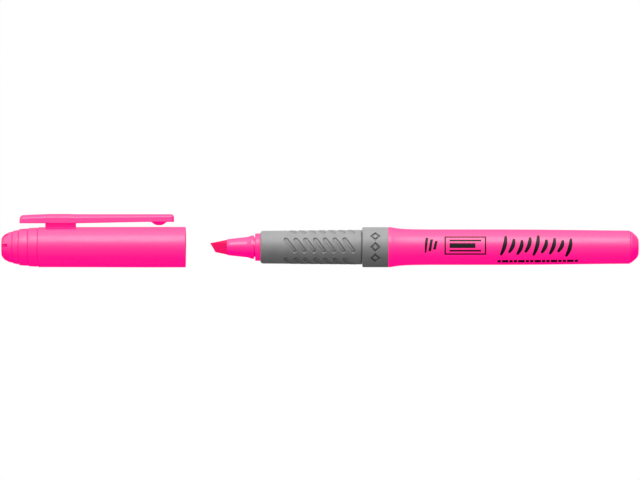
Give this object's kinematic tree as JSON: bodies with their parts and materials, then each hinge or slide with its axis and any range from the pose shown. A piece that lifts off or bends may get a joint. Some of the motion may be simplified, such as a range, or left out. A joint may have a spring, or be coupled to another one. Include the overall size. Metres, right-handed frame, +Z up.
{
  "type": "highlighter pen",
  "caption": "Pocket highlighter with a chisel nib, a ribbed soft grip sleeve and a pull-off cap with a spring pocket clip, lying with its cap off.",
  "frame": {"origin": "under the middle of the whole object's box, on the surface that the pen and its cap lie on", "axes": "+X along the pen from the cap's closed end to the pen's rear end, +Z up through the pocket clip, +Y across the pen"},
  "size_m": [0.1896, 0.012, 0.016],
  "materials": {
    "pink_plastic": "glossy fluorescent pink moulded plastic, slightly translucent",
    "nose_plastic": "glossy translucent magenta plastic",
    "cap_end_plastic": "glossy fluorescent pink moulded plastic",
    "nib_fibre": "ink-soaked pressed polyester fibre",
    "reservoir_fibre": "ink-soaked bundled polyester fibre",
    "clear_film": "thin wrapping film",
    "liner_plastic": "natural white polyethylene",
    "grip_rubber": "matt mid-grey soft rubber",
    "collar_rubber": "matt mid-grey rubber"
  },
  "bodies": {
    "pen": {"barrel": "pink_plastic", "rear_plug": "pink_plastic", "reservoir_core": "reservoir_fibre", "reservoir_film": "clear_film", "nib_holder": "nose_plastic", "nib": "nib_fibre", "grip_sleeve": "grip_rubber", "grip_collar": "collar_rubber"},
    "cap": {"cap_shell": "pink_plastic", "cap_liner": "liner_plastic", "cap_vent_plug": "cap_end_plastic", "clip_root": "pink_plastic"},
    "clip": {"clip_arm": "pink_plastic"}
  },
  "joints": [
    {"name": "cap_slide", "type": "slide", "parent": "pen", "child": "cap", "axis": [1, 0, 0], "range_m": [0, 0.0524]},
    {"name": "clip_flex", "type": "hinge", "parent": "cap", "child": "clip", "pos_m": [-0.07264, 0, 0.01595], "axis": [0, -1, 0], "range_deg": [-0.8, 5], "stiffness_Nm_per_rad": 0.8}
  ]
}
